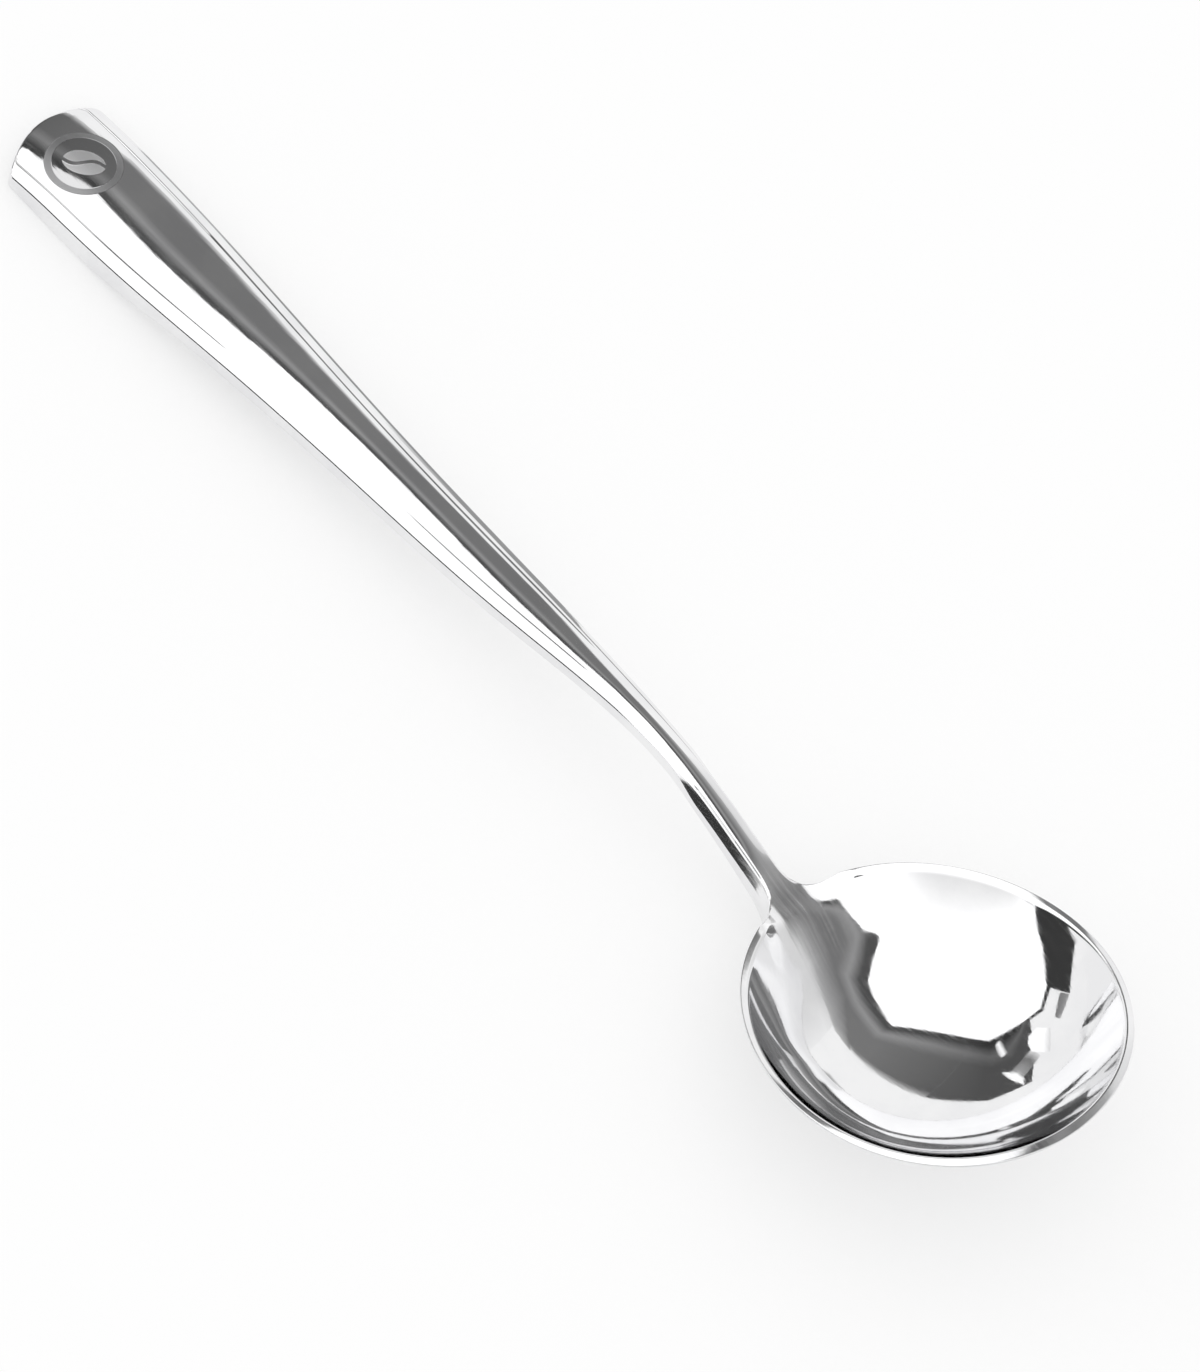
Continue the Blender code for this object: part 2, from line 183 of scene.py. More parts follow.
# How finely the surfaces are divided
CROWN_STEPS = 12
GROOVE_STEPS = 6
ROUND_STEPS = 5
HANDLE_STEPS = 150
NECK_STEPS = 60
END_STEPS = 10
SHOULDER_STEPS = 24
STUB_STEPS = 10
RIM_STEPS = 110
RIM_CROWDING = 1.25
INNER_RINGS = 70
OUTER_RINGS = 60
STUB_CROWDING = 6
LINE_STEPS = 62
TOUCH_SAMPLES = 2000

# How closely places and slopes are worked out
TOUCH_HALVINGS = 40
DEPTH_PASSES = 12
SLOPE_STEP = 0.02
TWIST_STEP = 0.01
LARGEST_EXPONENT = 40
SHORTEST_NORMAL = 1e-12

TILT = math.radians(BOWL_TILT_DEG)
MIRROR = np.array([1, -1, 1])


def smooth_curve(places, values):
    """Natural cubic spline through the given places."""
    x = np.array(places, float)
    y = np.array(values, float)
    gaps = np.diff(x)
    count = len(x)
    matrix = np.eye(count)
    right = np.zeros(count)
    for i in range(1, count - 1):
        matrix[i, i - 1] = gaps[i - 1] / 6
        matrix[i, i] = (gaps[i - 1] + gaps[i]) / 3
        matrix[i, i + 1] = gaps[i] / 6
        right[i] = (y[i + 1] - y[i]) / gaps[i] - (y[i] - y[i - 1]) / gaps[i - 1]
    bend = np.linalg.solve(matrix, right)

    def at(value):
        value = np.asarray(value, float)
        i = np.clip(np.searchsorted(x, value) - 1, 0, count - 2)
        h = gaps[i]
        a = (x[i + 1] - value) / h
        b = (value - x[i]) / h
        return a * y[i] + b * y[i + 1] + ((a**3 - a) * bend[i] + (b**3 - b) * bend[i + 1]) * h * h / 6

    return at


def ease(value):
    """0 below 0, 1 over 1, and level at both ends."""
    t = np.clip(value, 0, 1)
    return t * t * (3 - 2 * t)


def mixed(first, second, share):
    """The first value at a share of 0, the second at 1."""
    return first + (second - first) * share


PLACES = [TIP_X, PAD_X, UPPER_X, MIDDLE_X, LOWER_X, BEND_X, CREST_X, NECK_X, THROAT_X]
full_width = smooth_curve(
    PLACES,
    [TIP_WIDTH, PAD_WIDTH, UPPER_WIDTH, MIDDLE_WIDTH, LOWER_WIDTH, BEND_WIDTH] + [NECK_WIDTH] * 3,
)
edge_height = smooth_curve(
    PLACES,
    [TIP_EDGE_Z, PAD_EDGE_Z, UPPER_EDGE_Z, MIDDLE_EDGE_Z, LOWER_EDGE_Z]
    + [BEND_EDGE_Z, CREST_EDGE_Z, NECK_EDGE_Z, THROAT_EDGE_Z],
)
wall_height = smooth_curve(
    [TIP_X, UPPER_X, LOWER_X, CREST_X, THROAT_X],
    [TIP_WALL, UPPER_WALL, LOWER_WALL, CREST_WALL, THROAT_WALL],
)
bevel_run = smooth_curve(
    [TIP_X, LOWER_X, CREST_X, THROAT_X],
    [TIP_BEVEL_RUN, LOWER_BEVEL_RUN, NECK_BEVEL_RUN, NECK_BEVEL_RUN],
)
bevel_drop = smooth_curve(
    [TIP_X, LOWER_X, CREST_X, THROAT_X],
    [TIP_BEVEL_DROP, LOWER_BEVEL_DROP, NECK_BEVEL_DROP, NECK_BEVEL_DROP],
)
crown = smooth_curve(
    [TIP_X, MIDDLE_X, LOWER_X, CREST_X, THROAT_X],
    [TIP_CROWN, MIDDLE_CROWN, LOWER_CROWN, NECK_CROWN, NECK_CROWN],
)
groove_depth = smooth_curve(
    [TIP_X, PAD_X, UPPER_X, LOWER_X, CREST_X, THROAT_X],
    [TIP_GROOVE, PAD_GROOVE, HANDLE_GROOVE, LOWER_GROOVE, 0.0, 0.0],
)


def towards_neck(x):
    """0 on the broad part of the handle, 1 on the neck."""
    return ease((np.asarray(x, float) - MIDDLE_X) / (CREST_X - MIDDLE_X))


def top_height(x):
    """Top of handle and neck along their middle line."""
    return edge_height(x) + bevel_drop(x) + crown(x)


def under_height(x):
    """Underside of handle and neck; it lies flat on the table at the tip."""
    lift = ease((np.asarray(x, float) - TIP_X - TIP_FLAT_LENGTH) / TIP_LIFT_LENGTH)
    return (edge_height(x) - wall_height(x)) * lift


def to_rim(x, z):
    """World X and Z to the frame of the rim plane: distance along it and height over it."""
    dx = np.asarray(x, float) - RIM_CENTRE_X
    dz = np.asarray(z, float) - RIM_CENTRE_Z
    return dx * math.cos(TILT) + dz * math.sin(TILT), -dx * math.sin(TILT) + dz * math.cos(TILT)


def from_rim(u, v, n):
    """Points in the frame of the rim plane to world X, Y, Z."""
    x = RIM_CENTRE_X + u * math.cos(TILT) - n * math.sin(TILT)
    z = RIM_CENTRE_Z + u * math.sin(TILT) + n * math.cos(TILT)
    return np.stack([x, v, z], axis=-1)


def turned_from_rim(directions):
    """Directions in the frame of the rim plane to world directions."""
    u, v, n = directions[..., 0], directions[..., 1], directions[..., 2]
    x = u * math.cos(TILT) - n * math.sin(TILT)
    z = u * math.sin(TILT) + n * math.cos(TILT)
    return np.stack([x, v, z], axis=-1)


def carried_on(height, x):
    """Height along handle and neck, carried straight on into the bowl past the throat."""
    x = np.asarray(x, float)
    slope = height(THROAT_X) - height(THROAT_X - 1.0)
    return height(np.minimum(x, THROAT_X)) + slope * np.maximum(x - THROAT_X, 0.0)


ALONG = np.linspace(SEAM_X, RIM_CENTRE_X, LINE_STEPS + 1)
TOP_U, TOP_N = to_rim(ALONG, carried_on(top_height, ALONG))
UNDER_U, UNDER_N = to_rim(ALONG, carried_on(under_height, ALONG))
top_line = smooth_curve(TOP_U, TOP_N)
under_line = smooth_curve(UNDER_U, UNDER_N)
along_of_top = smooth_curve(TOP_U, ALONG)
HALF_LENGTH = BOWL_LENGTH / 2
HALF_WIDTH = BOWL_WIDTH / 2
HALF_NECK = NECK_WIDTH / 2
NECK_FLAT = HALF_NECK - NECK_BEVEL_RUN
RIM_INNER = 1 - LIP_WIDTH / HALF_WIDTH


def settle(value, limit, soft):
    """Follow value while it is over limit, and level off smoothly to limit below it."""
    over = np.clip((value - limit) / soft, -LARGEST_EXPONENT, LARGEST_EXPONENT)
    return limit + soft * np.log1p(np.exp(over))


def lower_of(first, second, soft):
    """Smooth minimum of two heights."""
    h = np.clip(0.5 + 0.5 * (second - first) / soft, 0, 1)
    return second * (1 - h) + first * h - soft * h * (1 - h)


def rim_radius(u, v):
    """1 on the rim outline, 0 in the middle of the bowl."""
    return np.sqrt((u / HALF_LENGTH) ** 2 + (v / (HALF_WIDTH * (1 + BOWL_EGG * u / HALF_LENGTH))) ** 2)


def dish(u, v, rim):
    """0 at the deepest point, which lies back from the middle, and 1 at this share of the rim."""
    radius = rim_radius(u + DEEPEST_BACK * (1 - rim_radius(u, v) ** 2), v) / rim
    wall = (1 - BOWL_ROUNDNESS) * radius**2 + BOWL_ROUNDNESS * radius**4
    return wall + SHOULDER_EASE * near_throat(u, v) * eased_wall(radius)


def near_throat(u, v):
    """1 in the part of the bowl that faces the neck, 0 from its sides on."""
    angle = np.degrees(np.arctan2(np.abs(v), -np.asarray(u, float)))
    return 1 - ease((angle - EASE_FROM) / EASE_OVER)


def eased_wall(radius):
    """A gentle swelling of the upper wall: none at the rim itself and none in the core of the bowl."""
    swelling = (1 - radius**2) * (np.maximum(radius**2 - EASE_CORE, 0.0) / (1 - EASE_CORE)) ** 2
    return np.where(radius < 1, swelling, 2 * (1 - radius))


def clear_of_front(u):
    """Lifts the throat surfaces out of the way over the rest of the bowl."""
    return THROAT_LIFT * np.maximum(u + HALF_LENGTH / 2, 0.0) ** 2


def near_stub_end(u):
    """1 at the end of the stub, 0 from the shoulders on."""
    return ease((-u - STUB_END + STUB_FADE) / STUB_FADE)


def flare(u):
    """How far the throat opens out beyond the neck's half width on its way into the bowl."""
    return THROAT_FLARE * ease((u + FLARE_START) / FLARE_LENGTH)


def throat_height(u, v, widening=0.0, spread=THROAT_SPREAD):
    """Upper side of the neck, led down over the throat into the bowl."""
    line = settle(top_line(u), -THROAT_LOW, THROAT_SETTLE) + clear_of_front(u)
    line = line + THROAT_HOLD * np.maximum(u + THROAT_HOLD_START, 0.0) ** 2
    over = np.maximum(np.abs(v) - HALF_NECK - widening, 0.0)
    hump = NECK_CROWN * near_stub_end(u)
    return line - hump * np.minimum(np.abs(v) / NECK_FLAT, 1.0) ** 2 + spread * over**2


def inner_height(u, v):
    """Upper surface of bowl, shoulders and stub over the rim plane."""
    bowl = (BOWL_DEPTH - BOWL_FLOOR) * (dish(u, v, RIM_INNER) - 1)
    inside = ease((1 - rim_radius(u, v)) / RIM_FADE)
    spread = mixed(THROAT_SPREAD, FAN_SPREAD, inside)
    blend = mixed(RIM_THROAT_BLEND, THROAT_BLEND, inside)
    return lower_of(bowl, throat_height(u, v, flare(u) * inside, spread), blend)


def lip_height(u, v):
    """Rim lip, running out along the shoulders into the upper edges of the stub."""
    beyond = WALL_RISE * BOWL_DEPTH * np.maximum(rim_radius(u, v) - 1, 0.0)
    return lower_of(beyond, throat_height(u, v), LIP_BLEND)


def outer_height(u, v):
    """Lower surface of bowl, shoulders and stub over the rim plane."""
    bowl = (BOWL_DEPTH - LIP_EDGE) * (dish(u, v, 1.0) - 1)
    straight = under_line(u)
    settled = settle(straight, -THROAT_UNDER_LOW, THROAT_UNDER_SETTLE)
    line = settled + (straight - settled) * near_stub_end(u) + clear_of_front(u)
    over = np.maximum(np.abs(v) - HALF_NECK, 0.0)
    return lower_of(bowl - LIP_EDGE, line + THROAT_UNDER_SPREAD * over**2, THROAT_UNDER_BLEND)


def surface_normals(height, u, v, side):
    """Normals of a height over the rim plane, in world directions.

    The side is 1 for an upper face and -1 for a lower one.
    """
    slope_u = (height(u + SLOPE_STEP, v) - height(u - SLOPE_STEP, v)) / (2 * SLOPE_STEP)
    slope_v = (height(u, v + SLOPE_STEP) - height(u, v - SLOPE_STEP)) / (2 * SLOPE_STEP)
    normals = np.stack([-slope_u * side, -slope_v * side, np.full_like(slope_u, side)], axis=-1)
    normals /= np.linalg.norm(normals, axis=-1, keepdims=True)
    return turned_from_rim(normals)


def arc_through(start, corner, end):
    """Rounds a corner: points from start to end that leave and arrive along the two sides."""
    t = np.linspace(0, 1, ROUND_STEPS + 1)[:, None]
    return (1 - t) ** 2 * start + 2 * t * (1 - t) * corner + t * t * end


def towards(start, end, distance):
    """The point at this distance from start on the way to end."""
    side = end - start
    return start + side * distance / np.linalg.norm(side)


def edge_profile(start, corners, end, reaches):
    """Points from one surface over the corners of an edge to another surface, with every corner rounded."""
    chain = [start] + corners + [end]
    arcs = []
    for i, reach in enumerate(reaches):
        before, corner, after = chain[i : i + 3]
        first = start if i == 0 else towards(corner, before, reach)
        last = end if i == len(reaches) - 1 else towards(corner, after, reach)
        arcs.append(arc_through(first, corner, last))
    return np.concatenate(arcs)


def rounded_end(distance, radius):
    """How far a quarter round of this radius stands back, at a distance from the end."""
    left = max(radius - distance, 0.0)
    return radius - math.sqrt(radius**2 - left**2)


def section_depth(x, tilt):
    """Depth of a section under its top; a tilted one meets the underside further along."""
    top = float(top_height(x))
    deep = top - float(under_height(x))
    for _ in range(DEPTH_PASSES):
        deep = (top - float(carried_on(under_height, x + deep * math.sin(tilt)))) / math.cos(tilt)
    return deep


def crowned_top(x, flat, reach):
    """Upper side of half a section, from the middle out: a crown, and a shallow groove beside the bevel."""
    hump = float(crown(x))
    points = [(y, -hump * (y / flat) ** 2) for y in np.linspace(0, reach - GROOVE_WIDTH, CROWN_STEPS)]
    for step in range(1, GROOVE_STEPS + 1):
        share = step / GROOVE_STEPS
        y = reach - GROOVE_WIDTH * (1 - share)
        sunk = float(groove_depth(x)) * (1 - math.cos(2 * math.pi * share)) / 2
        points.append((y, -hump * (y / flat) ** 2 - sunk))
    return points


def half_section(x, tilt):
    """Half a section of handle or neck, from the middle of its top round to the middle of its underside."""
    half = float(full_width(x)) / 2 - rounded_end(x - TIP_X, END_CORNER_RADIUS)
    flat = half - float(bevel_run(x))
    hump = float(crown(x))
    drop = float(bevel_drop(x))
    deep = section_depth(x, tilt)
    rounding = mixed(TIP_EDGE_ROUND, NECK_EDGE_ROUND, float(towards_neck(x)))
    low_reach = min(LOWER_EDGE_RADIUS, LOW_ROUND_SHARE * (deep - hump - drop))
    leaning = float(ease((x - LEAN_START) / LEAN_LENGTH))
    lean = mixed(HANDLE_LEAN, NECK_LEAN, leaning)
    belt = hump + drop + mixed(HANDLE_BELT, NECK_BELT, leaning)
    step_run = mixed(STEP_RUN, NECK_STEP_RUN, leaning)
    step_drop = mixed(STEP_DROP, NECK_STEP_DROP, leaning)
    belt_round = mixed(HANDLE_ROUND, NECK_EDGE_ROUND, leaning)
    foot = half + NECK_FOOT * leaning
    upper = crowned_top(x, flat, flat - rounding)
    edge = edge_profile(
        np.array(upper[-1]),
        [
            np.array((flat, -hump)),
            np.array((half - lean - step_run, -hump - drop + step_drop)),
            np.array((half - lean, -hump - drop)),
            np.array((foot, -belt)),
            np.array((foot, -deep)),
        ],
        np.array((foot - low_reach, -deep)),
        (rounding, STEP_ROUND, belt_round, belt_round, low_reach),
    )
    low_count = CROWN_STEPS + ROUND_STEPS
    under = [(y, -deep) for y in np.linspace(foot - low_reach, 0, low_count + 1)[1:]]
    points = np.array(upper[:-1] + [tuple(p) for p in edge] + under)
    return placed_section(x, tilt, points, half, deep)


def placed_section(x, tilt, points, half, deep):
    """The points of a half section in their place, with the roundings of the handle's end."""
    from_end = x - TIP_X
    y = points[:, 0]
    roll = END_ROLL_DROP * max(0.0, 1 - from_end / END_ROLL_LENGTH) ** 2
    bow = END_BOW * max(0.0, 1 - from_end / END_BOW_LENGTH) ** 2
    lowered = roll + rounded_end(from_end, END_TOP_ROUND)
    raised = rounded_end(from_end, END_LOW_ROUND)
    h = -deep + raised + (points[:, 1] + deep) * (deep - lowered - raised) / deep
    along = x - h * math.sin(tilt) - bow * (1 - (y / half) ** 2)
    return np.stack([along, y, float(top_height(x)) + h * math.cos(tilt)], axis=-1)


def neck_twist(x):
    """Sideways slope of the neck, which leans slightly to one side between handle and bowl."""
    return NECK_TWIST * ease((x - TWIST_START) / TWIST_LENGTH) * ease((TWIST_END - x) / TWIST_FADE)


def twisted(points, normals):
    """Points and normals of a piece after the neck's twist."""
    x, y = points[:, 0], points[:, 1]
    slope = (neck_twist(x + TWIST_STEP) - neck_twist(x - TWIST_STEP)) / (2 * TWIST_STEP)
    moved = points - np.outer(neck_twist(x) * y, (0, 0, 1))
    turned = normals.copy()
    turned[:, 0] += slope * y * normals[:, 2]
    turned[:, 1] += neck_twist(x) * normals[:, 2]
    return moved, turned / np.linalg.norm(turned, axis=1, keepdims=True)


def end_skew(x):
    """How far off square the handle's end is cut: one corner stands slightly further out than the other."""
    return END_SKEW * np.clip(1 - (x - TIP_X) / END_SKEW_LENGTH, 0, 1) ** 2


def whole_section(half):
    """Closes a half section by its mirror image."""
    return np.concatenate([half, half[-2:0:-1] * MIRROR])


def grid_normals(grid):
    """Normals of a grid of points, closed in its second direction."""
    along = np.gradient(grid, axis=0)
    around = np.roll(grid, -1, axis=1) - np.roll(grid, 1, axis=1)
    normals = np.cross(along, around)
    return normals / np.maximum(np.linalg.norm(normals, axis=-1, keepdims=True), SHORTEST_NORMAL)


def put(name, data):
    """Adds an object with this data to the scene."""
    item = bpy.data.objects.new(name, data)
    bpy.context.scene.collection.objects.link(item)
    return item


class Skin:
    """Collects the points, normals and faces of one piece."""

    def __init__(self):
        self.points = []
        self.normals = []
        self.faces = []

    def add(self, points, normals):
        """Adds points with their normals, and gives their numbers."""
        start = len(self.points)
        self.points += [tuple(float(c) for c in p) for p in points]
        self.normals += [tuple(float(c) for c in n) for n in normals]
        return list(range(start, len(self.points)))

    def band(self, first, second, closed=True):
        """Faces between two rows of as many points."""
        count = len(first)
        for i in range(count if closed else count - 1):
            j = (i + 1) % count
            self.faces.append((first[i], first[j], second[j], second[i]))

    def fan(self, middle, ring):
        """Faces from a middle point to the ring round it."""
        for i in range(len(ring)):
            self.faces.append((middle, ring[i], ring[(i + 1) % len(ring)]))

    def close_section(self, ring):
        """Closes the end of a bar with faces between its upper and lower side."""
        half = len(ring) // 2
        right = ring[: half + 1]
        left = [ring[0]] + ring[: half - 1 : -1]
        for side in (right, left):
            for i in range((half + 1) // 2 - 1):
                self.faces.append((side[i], side[i + 1], side[half - 1 - i], side[half - i]))

    def piece(self, name):
        """Makes the piece, in metres and with the neck's twist."""
        points, normals = twisted(np.array(self.points), np.array(self.normals))
        mesh = bpy.data.meshes.new(name)
        mesh.from_pydata([tuple(p) for p in points * MM], [], self.faces)
        bm = bmesh.new()
        bm.from_mesh(mesh)
        bmesh.ops.recalc_face_normals(bm, faces=bm.faces)
        bm.to_mesh(mesh)
        bm.free()
        mesh.shade_smooth()
        mesh.normals_split_custom_set_from_vertices([tuple(n) for n in normals])
        return put(name, mesh)


# Handle and neck: one run of sections, so that their surfaces carry on over the seam
sections = []
for step in range(END_STEPS):
    distance = END_CORNER_RADIUS * (1 - math.cos(math.pi / 2 * step / END_STEPS))
    sections.append(half_section(TIP_X + distance, 0.0))
for x in np.linspace(TIP_X + END_CORNER_RADIUS, SEAM_X, HANDLE_STEPS + 1):
    sections.append(half_section(float(x), 0.0))
seam_row = len(sections) - 1
neck_end_x = float(along_of_top(-STUB_END))
for share in np.linspace(0, 1, NECK_STEPS + 1)[1:]:
    sections.append(half_section(SEAM_X + (neck_end_x - SEAM_X) * share, TILT * float(ease(share))))
stub_row = len(sections) - 1
# One section past the neck's end, which only gives the normals there
neck_step = (neck_end_x - SEAM_X) / NECK_STEPS
sections.append(half_section(neck_end_x + neck_step, TILT))
bar_points = np.array([whole_section(half) for half in sections])
bar_points[..., 0] -= end_skew(bar_points[..., 0]) * bar_points[..., 1]
bar_normals = grid_normals(bar_points)


def make_bar(name, first, last):
    """A piece of the run of sections, closed at both ends."""
    skin = Skin()
    rows = [skin.add(bar_points[i], bar_normals[i]) for i in range(first, last + 1)]
    for one, two in zip(rows, rows[1:]):
        skin.band(one, two)
    skin.close_section(rows[0])
    skin.close_section(rows[-1])
    return skin.piece(name)


handle = make_bar("spoon_handle", 0, seam_row)
neck = make_bar("spoon_neck", seam_row, stub_row)


def bowl_outline():
    """Half outline of bowl and stub in the rim plane, from the stub end round to the front of the rim.

    The third value is the share of the stub's bevel there, 1 on the stub and 0 on the rim.
    """
    # The shoulder's arc is moved along the stub until it touches the rim
    low, high = -STUB_END, -HALF_LENGTH
    turn = np.linspace(0, math.pi / 2, TOUCH_SAMPLES)
    for _ in range(TOUCH_HALVINGS):
        middle = (low + high) / 2
        arc_u = middle + SHOULDER_RADIUS * np.sin(turn)
        arc_v = HALF_NECK + SHOULDER_RADIUS * (1 - np.cos(turn))
        if rim_radius(arc_u, arc_v).min() < 1:
            high = middle
        else:
            low = middle
    touch = float(turn[np.argmin(rim_radius(arc_u, arc_v))])
    points = []
    for share in np.linspace(0, 1, STUB_STEPS + 1)[:-1]:
        points.append((-STUB_END + (middle + STUB_END) * share, HALF_NECK, 1.0))
    for share in np.linspace(0, 1, SHOULDER_STEPS + 1):
        angle = touch * share
        u = middle + SHOULDER_RADIUS * math.sin(angle)
        v = HALF_NECK + SHOULDER_RADIUS * (1 - math.cos(angle))
        points.append((u, v, 1 - float(ease(share))))
    start = math.acos(points[-1][0] / HALF_LENGTH)
    for share in np.linspace(0, 1, RIM_STEPS + 1)[1:]:
        angle = start * (1 - share**RIM_CROWDING)
        u = HALF_LENGTH * math.cos(angle)
        v = HALF_WIDTH * math.sin(angle) * (1 + BOWL_EGG * math.cos(angle))
        points.append((u, v, 0.0))
    return np.array(points)


def inward_directions(outline):
    """Directions square to the outline that point into the bowl, in the rim plane."""
    line = outline[:, :2]
    before = line[:1] - (line[1:2] - line[:1])
    after = line[-2:-1] * MIRROR[:2]
    ends = np.concatenate([before, line, after])
    tangent = ends[2:] - ends[:-2]
    tangent /= np.linalg.norm(tangent, axis=1, keepdims=True)
    return np.stack([tangent[:, 1], -tangent[:, 0]], axis=1)


def lip_profile(spot, inward, bevel):
    """Rounded lip, bevel and wall at one point of the outline, in the frame of the rim plane."""

    def at(distance, height):
        return np.append(spot + inward * distance, height)

    def on_surface(distance, surface):
        u, v = spot + inward * distance
        return at(distance, float(surface(u, v)))

    reaches = (
        mixed(RIM_INNER_ROUND, NECK_EDGE_ROUND, bevel),
        STEP_ROUND,
        mixed(RIM_EDGE_ROUND, NECK_EDGE_ROUND, bevel),
        mixed(RIM_BELT_ROUND, NECK_EDGE_ROUND, bevel),
        mixed(RIM_EDGE_ROUND, LOWER_EDGE_RADIUS, bevel),
    )
    width = mixed(LIP_WIDTH, NECK_BEVEL_RUN, bevel)
    edge = float(lip_height(*spot)) - bevel * NECK_BEVEL_DROP
    low = min(float(outer_height(*spot)), edge - LIP_EDGE)
    belt = edge - NECK_BELT * bevel - (edge - low) * BELT_SHARE * (1 - bevel)
    lean = NECK_LEAN * bevel
    foot = NECK_FOOT * bevel
    inner_corner = on_surface(width, inner_height)
    step_in = lean + mixed(STEP_RUN, NECK_STEP_RUN, bevel)
    step_up = (inner_corner[2] - edge) * step_in / width * (1 - bevel) + NECK_STEP_DROP * bevel
    return edge_profile(
        on_surface(width + reaches[0], inner_height),
        [inner_corner, at(step_in, edge + step_up), at(lean, edge), at(-foot, belt), at(-foot, low)],
        on_surface(reaches[-1] - foot, outer_height),
        reaches,
    )


def edge_strip(outline):
    """One profile of lip, bevel and wall for each point of the outline."""
    spots = zip(outline, inward_directions(outline))
    return np.array([lip_profile(point[:2], inward, point[2]) for point, inward in spots])


def strip_normals(strip):
    """Normals of an open grid of points."""
    along = np.gradient(strip, axis=0)
    across = np.gradient(strip, axis=1)
    normals = np.cross(along, across)
    normals /= np.linalg.norm(normals, axis=-1, keepdims=True)
    return normals


def across_end(skin, points, normals):
    """Adds points across the stub's end, from the left side to the right."""
    line = np.concatenate([(points[1:] * MIRROR)[::-1], points])
    line_normals = np.concatenate([(normals[1:] * MIRROR)[::-1], normals])
    return skin.add(line, line_normals)


def cover(skin, border, height, side, rings):
    """Fills the inside of a border with rings that follow a height over the rim plane."""
    border_points = np.array([skin.points[i] for i in border])
    border_u, _ = to_rim(border_points[:, 0], border_points[:, 2])
    border_v = border_points[:, 1]
    reach = 1 / np.maximum(rim_radius(border_u, border_v), 1.0)
    last = border
    for share in np.linspace(1, 0, rings + 1)[1:-1]:
        far = share * reach + (1 - reach) * share**STUB_CROWDING
        u, v = border_u * far, border_v * far
        points = from_rim(u, v, height(u, v))
        ring_normals = surface_normals(height, u, v, side)
        if side < 0:
            ring_normals[points[:, 2] < 0] = (0, 0, -1)
            points[:, 2] = np.maximum(points[:, 2], 0.0)
        ring = skin.add(points, ring_normals)
        skin.band(last, ring)
        last = ring
    u, v = np.zeros(1), np.zeros(1)
    points = from_rim(u, v, height(u, v))
    points[:, 2] = np.maximum(points[:, 2], 0.0)
    middle = skin.add(points, surface_normals(height, u, v, side))
    skin.fan(middle[0], last)


def make_bowl(name):
    """Bowl, lip, shoulders and stub as one closed skin."""
    strip = edge_strip(bowl_outline())
    strip = np.concatenate([strip, strip[-2::-1] * MIRROR])
    world = from_rim(strip[..., 0], strip[..., 1], strip[..., 2])
    normals = turned_from_rim(strip_normals(strip))
    outward = world - np.array((RIM_CENTRE_X, 0, 0))
    if np.sum(normals * outward) < 0:
        normals = -normals
    normals[:, 0] = surface_normals(inner_height, strip[:, 0, 0], strip[:, 0, 1], 1)
    normals[:, -1] = surface_normals(outer_height, strip[:, -1, 0], strip[:, -1, 1], -1)
    # The stub's end takes over the points and normals of the neck's last section
    half_count = len(sections[0])
    end_points = bar_points[stub_row][:half_count]
    end_normals = bar_normals[stub_row][:half_count]
    edge_first = CROWN_STEPS + GROOVE_STEPS - 1
    edge_last = edge_first + strip.shape[1]
    world[0] = end_points[edge_first:edge_last]
    world[-1] = world[0] * MIRROR
    normals[0] = end_normals[edge_first:edge_last]
    normals[-1] = normals[0] * MIRROR
    skin = Skin()
    rows = [skin.add(world[i], normals[i]) for i in range(len(world))]
    for one, two in zip(rows, rows[1:]):
        skin.band(one, two, closed=False)
    top_end = across_end(skin, end_points[:edge_first], end_normals[:edge_first])
    low_end = across_end(skin, end_points[edge_last:][::-1], end_normals[edge_last:][::-1])
    cover(skin, [row[0] for row in rows] + top_end, inner_height, 1, INNER_RINGS)
    cover(skin, [row[-1] for row in rows] + low_end, outer_height, -1, OUTER_RINGS)
    skin.faces.append(tuple(top_end + rows[0] + low_end[::-1] + rows[-1][::-1]))
    return skin.piece(name)


bowl = make_bowl("spoon_bowl")


